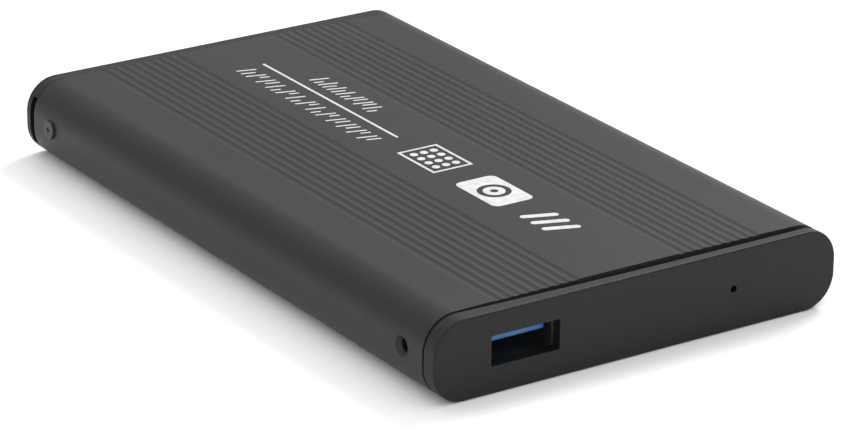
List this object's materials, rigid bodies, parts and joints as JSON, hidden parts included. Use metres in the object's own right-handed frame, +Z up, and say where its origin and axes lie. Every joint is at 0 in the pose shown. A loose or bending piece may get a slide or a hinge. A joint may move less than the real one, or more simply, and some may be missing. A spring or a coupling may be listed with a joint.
{
  "type": "portable hard disk drive",
  "caption": "Portable hard disk drive: a small disk drive on a pull-out tray with bridge board and socket, inside a grooved aluminium sleeve with end caps.",
  "frame": {"origin": "centre of the case's footprint, at the level it stands on", "axes": "-Y out of the socket end, +X to the right seen from the socket end, +Z up"},
  "size_m": [0.079, 0.1294, 0.014],
  "materials": {
    "dark_anodised_aluminium": "satin dark grey anodised extrusion",
    "black_abs": "fine spark-textured moulding",
    "black_steel_screw": "black zinc-plated steel",
    "nickel_steel_screw": "nickel-plated steel",
    "foam": "closed-cell foam",
    "board_laminate": "green solder mask over glass laminate",
    "nickel_shell": "nickel-plated stamped steel",
    "blue_polymer": "moulded blue polymer",
    "gold_contact": "gold-flashed contact",
    "black_connector": "moulded black connector polymer",
    "chip_epoxy": "moulded black epoxy",
    "bright_can": "bright steel can",
    "ferrite": "sintered ferrite",
    "chip_ceramic": "ceramic with tinned ends",
    "clear_epoxy": "clear epoxy lens",
    "tinned_wire": "tinned steel wire",
    "cast_aluminium": "machined die casting",
    "stamped_cover": "satin stamped steel",
    "gasket_rubber": "formed-in-place gasket",
    "white_label": "blank white film label",
    "filter_media": "pleated filter cloth",
    "insulating_film": "black polyester film",
    "silicon_steel": "laminated electrical steel",
    "copper_winding": "enamelled copper wire",
    "bearing_bronze": "sintered bronze",
    "ramp_polymer": "moulded low-friction polymer",
    "nickel_plate": "nickel-plated steel plate",
    "magnet": "nickel-plated sintered magnet",
    "polished_steel": "ground steel",
    "machined_aluminium": "turned aluminium",
    "mirror_disk": "polished sputtered disk",
    "flex_polyimide": "amber polyimide film",
    "slider_ceramic": "lapped ceramic"
  },
  "bodies": {
    "case": {"case_sleeve": "dark_anodised_aluminium", "rear_cap": "black_abs", "rear_screws": "black_steel_screw", "roof_foam_pad": "foam"},
    "drive_tray": {"front_cap": "black_abs", "bridge_board": "board_laminate", "board_screws": "nickel_steel_screw", "usb_shell": "nickel_shell", "usb_tongue": "blue_polymer", "usb_contacts": "gold_contact", "sata_socket": "black_connector", "sata_socket_contacts": "gold_contact", "bridge_chip": "chip_epoxy", "flash_chip": "chip_epoxy", "crystal": "bright_can", "power_inductor": "ferrite", "board_passives": "chip_ceramic", "status_led": "clear_epoxy", "led_leads": "tinned_wire", "drive_base": "cast_aluminium", "drive_cover": "stamped_cover", "cover_gasket": "gasket_rubber", "cover_screws": "nickel_steel_screw", "drive_label": "white_label", "breather_filter": "filter_media", "recirculation_filter": "filter_media", "drive_board": "board_laminate", "board_insulator": "insulating_film", "drive_board_screws": "nickel_steel_screw", "controller_chip": "chip_epoxy", "memory_chip": "chip_epoxy", "motor_driver_chip": "chip_epoxy", "drive_sata_plug": "black_connector", "drive_sata_contacts": "gold_contact", "stator_core": "silicon_steel", "stator_coils": "copper_winding", "spindle_bearing": "bearing_bronze", "head_ramp": "ramp_polymer", "lower_magnet_plate": "nickel_plate", "upper_magnet_plate": "nickel_plate", "coil_magnets": "magnet", "pivot_shaft": "polished_steel", "flex_bracket": "black_connector", "flex_cable": "flex_polyimide"},
    "platter_stack": {"spindle_hub": "machined_aluminium", "spindle_shaft": "polished_steel", "rotor_magnet": "magnet", "lower_platter": "mirror_disk", "upper_platter": "mirror_disk", "spacer_ring": "machined_aluminium", "disk_clamp": "machined_aluminium", "clamp_screw": "nickel_steel_screw"},
    "head_actuator": {"actuator_arm": "machined_aluminium", "voice_coil": "copper_winding", "coil_overmold": "black_connector", "pivot_bearing": "polished_steel", "head_suspensions": "polished_steel", "head_sliders": "slider_ceramic"},
    "actuator_latch": {"latch_lever": "ramp_polymer"}
  },
  "joints": [
    {"name": "tray_slide", "type": "slide", "parent": "case", "child": "drive_tray", "axis": [0, -1, 0], "range_m": [0, 0.12]},
    {"name": "platter_spin", "type": "hinge", "parent": "drive_tray", "child": "platter_stack", "pos_m": [0, 0.01868, 0.007], "axis": [0, 0, 1], "continuous": true},
    {"name": "arm_swing", "type": "hinge", "parent": "drive_tray", "child": "head_actuator", "pos_m": [0.01397, -0.02431, 0.007], "axis": [0, 0, -1], "range_deg": [0, 32]},
    {"name": "latch_swing", "type": "hinge", "parent": "drive_tray", "child": "actuator_latch", "pos_m": [0.02698, -0.0113, 0.007], "axis": [0, 0, 1], "range_deg": [0, 12]}
  ]
}
